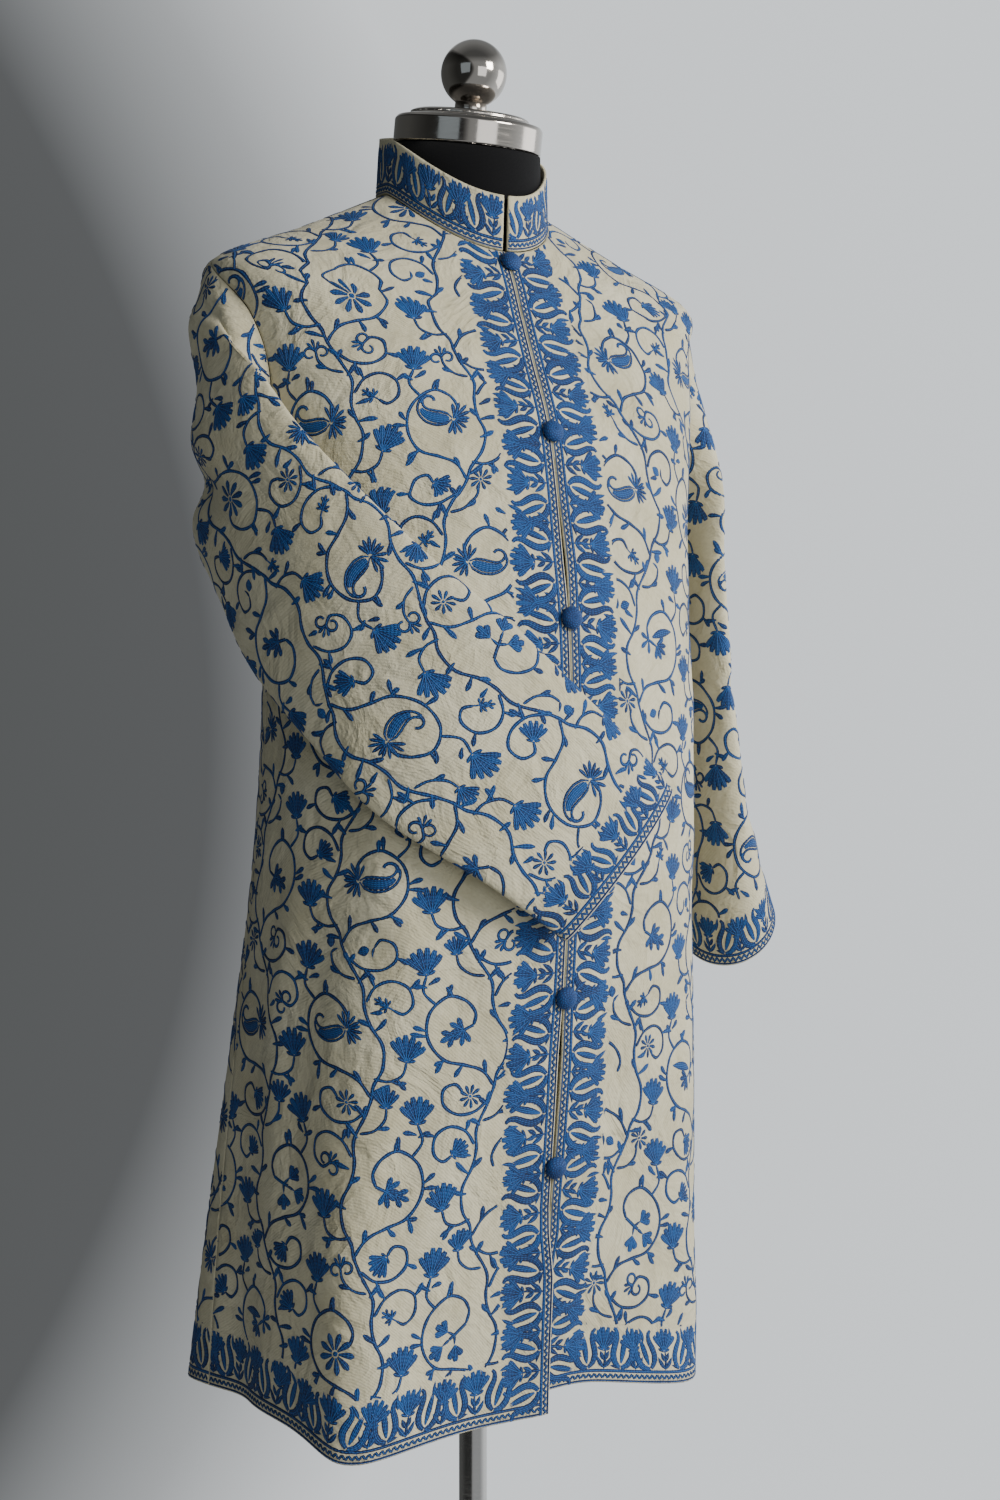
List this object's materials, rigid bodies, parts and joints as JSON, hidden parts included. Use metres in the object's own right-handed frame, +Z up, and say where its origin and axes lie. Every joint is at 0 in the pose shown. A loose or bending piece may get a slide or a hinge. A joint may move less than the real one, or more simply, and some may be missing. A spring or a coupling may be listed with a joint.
{
  "type": "embroidered long jacket on a limbless dress form and stand",
  "caption": "Cream woollen long jacket with blue chain-stitch embroidery, on a limbless dress form with a steel stand.",
  "frame": {"origin": "middle of the round base's underside, on the pole's axis", "axes": "+Z up along the pole; the jacket's front faces -Y and the wearer's left is +X"},
  "size_m": [0.5081, 0.3396, 1.5283],
  "materials": {
    "cream_wool": "napped wool cloth, matt",
    "blue_thread": "twisted thread, soft sheen",
    "black_jersey": "stretched knit, matt",
    "polished_steel": "polished bright plate"
  },
  "bodies": {
    "root": {"jacket_front_right": "cream_wool", "jacket_front_left": "cream_wool", "jacket_back": "cream_wool", "jacket_collar": "cream_wool", "sleeve_right": "cream_wool", "sleeve_left": "cream_wool", "form_torso": "black_jersey", "neck_cap": "polished_steel", "neck_ball": "polished_steel", "stand_base": "polished_steel", "stand_pole": "polished_steel", "button_1": "blue_thread", "button_2": "blue_thread", "button_3": "blue_thread", "button_4": "blue_thread", "button_5": "blue_thread", "button_6": "blue_thread"}
  },
  "joints": []
}
